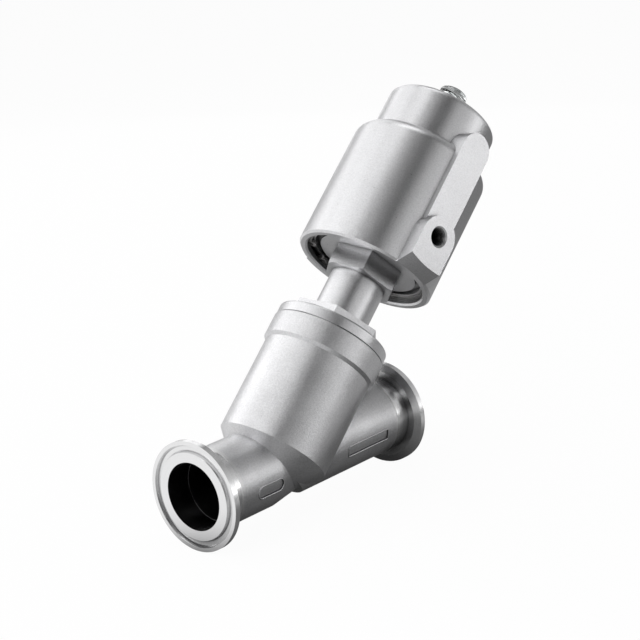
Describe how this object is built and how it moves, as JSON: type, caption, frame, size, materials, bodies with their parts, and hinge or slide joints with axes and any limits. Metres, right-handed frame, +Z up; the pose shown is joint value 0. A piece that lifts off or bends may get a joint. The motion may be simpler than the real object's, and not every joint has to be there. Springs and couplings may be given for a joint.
{
  "type": "angle seat valve",
  "caption": "Pneumatic angle seat valve: straight pipe body with clamp ferrules and a slanted piston actuator that lifts a spring-closed plug off its seat.",
  "frame": {"origin": "centre of the inlet ferrule's clamp face", "axes": "+X along the pipe from inlet to outlet, +Z up, the actuator leans towards +X and +Z"},
  "size_m": [0.2024, 0.0818, 0.1809],
  "materials": {
    "cast_steel": "blasted casting",
    "turned_steel": "turned",
    "casing_steel": "satin polished casting",
    "spring_steel": "drawn wire and stamped spring steel",
    "piston_metal": "turned",
    "white_seal": "turned fluoropolymer",
    "bush_plastic": "moulded bearing plastic",
    "black_rubber": "moulded rubber",
    "clear_plastic": "clear moulded plastic",
    "indicator_red": "moulded"
  },
  "bodies": {
    "valve": {"inlet_ferrule": "turned_steel", "outlet_ferrule": "turned_steel", "valve_body": "cast_steel", "bonnet_gasket": "white_seal", "bonnet": "turned_steel", "packing_springs": "spring_steel", "packing_washer": "turned_steel", "stem_packing": "white_seal", "packing_gland": "turned_steel", "stem_wiper": "black_rubber", "neck_tube": "turned_steel", "lower_cover": "turned_steel", "cover_o_ring": "black_rubber", "stem_bush": "bush_plastic", "stem_seal": "black_rubber"},
    "actuator_casing": {"casing": "casing_steel", "cover_circlip": "spring_steel", "indicator_lens": "clear_plastic", "lens_gasket": "black_rubber", "outer_spring": "spring_steel", "inner_spring": "spring_steel"},
    "stem_train": {"stem": "turned_steel", "plug": "turned_steel", "plug_seal": "white_seal", "seal_retainer": "turned_steel", "plug_nut": "turned_steel", "plug_pin": "spring_steel", "piston": "piston_metal", "piston_seal": "black_rubber", "piston_guide": "white_seal", "piston_washer": "turned_steel", "piston_nut": "turned_steel", "indicator_rod": "turned_steel", "indicator_flag": "indicator_red"}
  },
  "joints": [
    {"name": "stem_lift", "type": "slide", "parent": "valve", "child": "stem_train", "axis": [0.7071, 0, 0.7071], "range_m": [0, 0.012], "stiffness_N_per_m": 15000, "springref_m": -0.03, "deforming": ["outer_spring", "inner_spring"]},
    {"name": "casing_turn", "type": "hinge", "parent": "valve", "child": "actuator_casing", "pos_m": [0.12034, 0, 0.07354], "axis": [0.7071, 0, 0.7071], "continuous": true}
  ]
}
